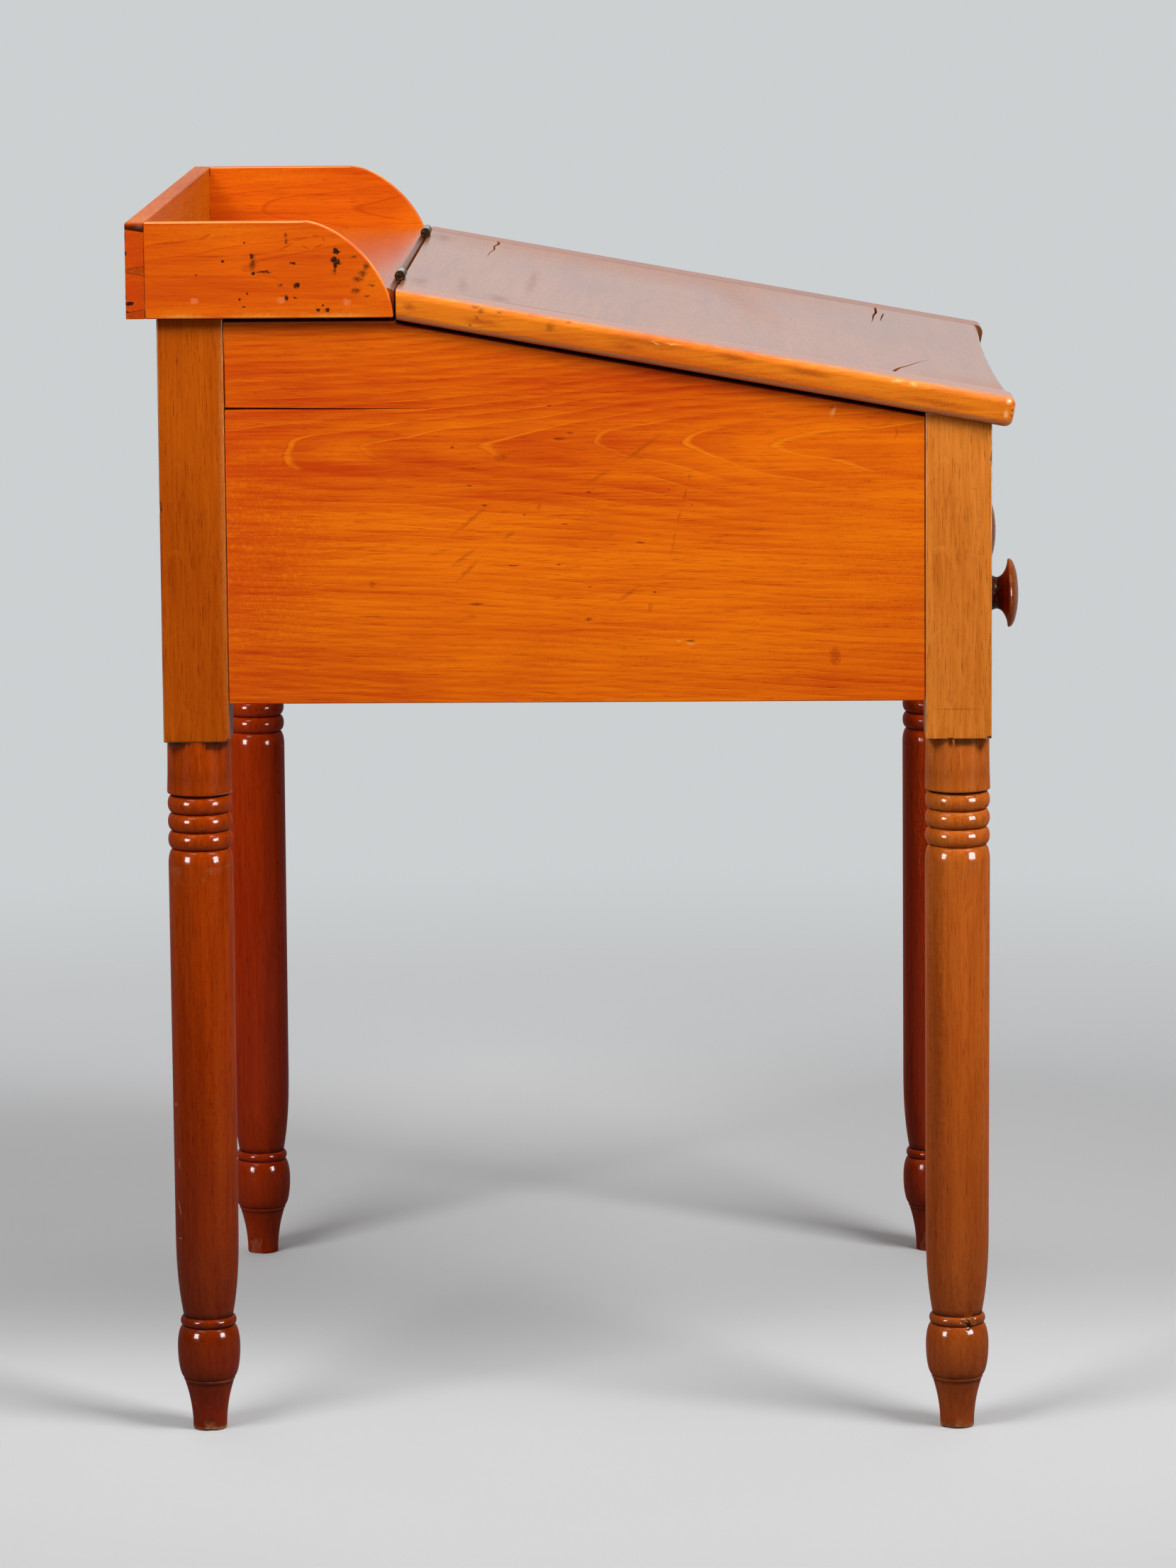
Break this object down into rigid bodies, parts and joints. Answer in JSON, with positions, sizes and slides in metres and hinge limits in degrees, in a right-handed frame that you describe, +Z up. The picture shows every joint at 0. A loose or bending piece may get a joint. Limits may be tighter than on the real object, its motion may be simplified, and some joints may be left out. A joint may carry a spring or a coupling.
{
  "type": "schoolmaster's desk",
  "caption": "Slant-lid writing desk on turned legs: a dovetailed gallery stands behind the hinged lid, which covers a storage well above a drawer with mushroom knobs.",
  "frame": {"origin": "on the floor, under the middle of the desk's bounding box", "axes": "+X across the desk to the sitter's right, -Y towards the sitter, +Z up"},
  "size_m": [0.684, 0.6764, 0.9364],
  "materials": {
    "board_shellac": "orange shellac, satin, over close-grained boards",
    "leg_shellac": "red-brown shellac, satin, on turned legs",
    "bare_pine": "bare, aged pine",
    "knob_stain": "dark stain and shellac, polished by hands",
    "hinge_iron": "worn iron",
    "screw_iron": "dark iron"
  },
  "bodies": {
    "case": {"leg_front_left": "leg_shellac", "leg_front_right": "leg_shellac", "leg_back_left": "leg_shellac", "leg_back_right": "leg_shellac", "side_panel_left": "board_shellac", "side_panel_right": "board_shellac", "back_panel": "board_shellac", "front_board": "board_shellac", "drawer_rail": "board_shellac", "drawer_stop_left": "bare_pine", "drawer_stop_right": "bare_pine", "drawer_runner_left": "bare_pine", "drawer_runner_right": "bare_pine", "drawer_guide_left": "bare_pine", "drawer_guide_right": "bare_pine", "drawer_kicker_left": "bare_pine", "drawer_kicker_right": "bare_pine", "well_ledger_front": "bare_pine", "well_ledger_back": "bare_pine", "well_floor": "bare_pine", "top_board": "board_shellac", "gallery_back": "board_shellac", "gallery_side_left": "board_shellac", "gallery_side_right": "board_shellac", "hinge_left_top_leaf": "hinge_iron", "hinge_right_top_leaf": "hinge_iron", "hinge_left_pin": "hinge_iron", "hinge_right_pin": "hinge_iron", "hinge_left_top_screw_1": "screw_iron", "hinge_left_top_screw_2": "screw_iron", "hinge_left_top_screw_3": "screw_iron", "hinge_right_top_screw_1": "screw_iron", "hinge_right_top_screw_2": "screw_iron", "hinge_right_top_screw_3": "screw_iron"},
    "lid": {"lid_board": "board_shellac", "lid_cleat_left": "board_shellac", "lid_cleat_right": "board_shellac", "hinge_left_lid_leaf": "hinge_iron", "hinge_right_lid_leaf": "hinge_iron", "hinge_left_lid_screw_1": "screw_iron", "hinge_left_lid_screw_2": "screw_iron", "hinge_left_lid_screw_3": "screw_iron", "hinge_right_lid_screw_1": "screw_iron", "hinge_right_lid_screw_2": "screw_iron", "hinge_right_lid_screw_3": "screw_iron"},
    "drawer": {"drawer_front": "board_shellac", "drawer_side_left": "bare_pine", "drawer_side_right": "bare_pine", "drawer_back": "bare_pine", "drawer_bottom": "bare_pine", "knob_left": "knob_stain", "knob_right": "knob_stain"}
  },
  "joints": [
    {"name": "lid_hinge", "type": "hinge", "parent": "case", "child": "lid", "pos_m": [0, 0.1362, 0.888], "axis": [-1, 0, 0], "range_deg": [0, 148]},
    {"name": "drawer_slide", "type": "slide", "parent": "case", "child": "drawer", "axis": [0, -1, 0], "range_m": [0, 0.36]}
  ]
}
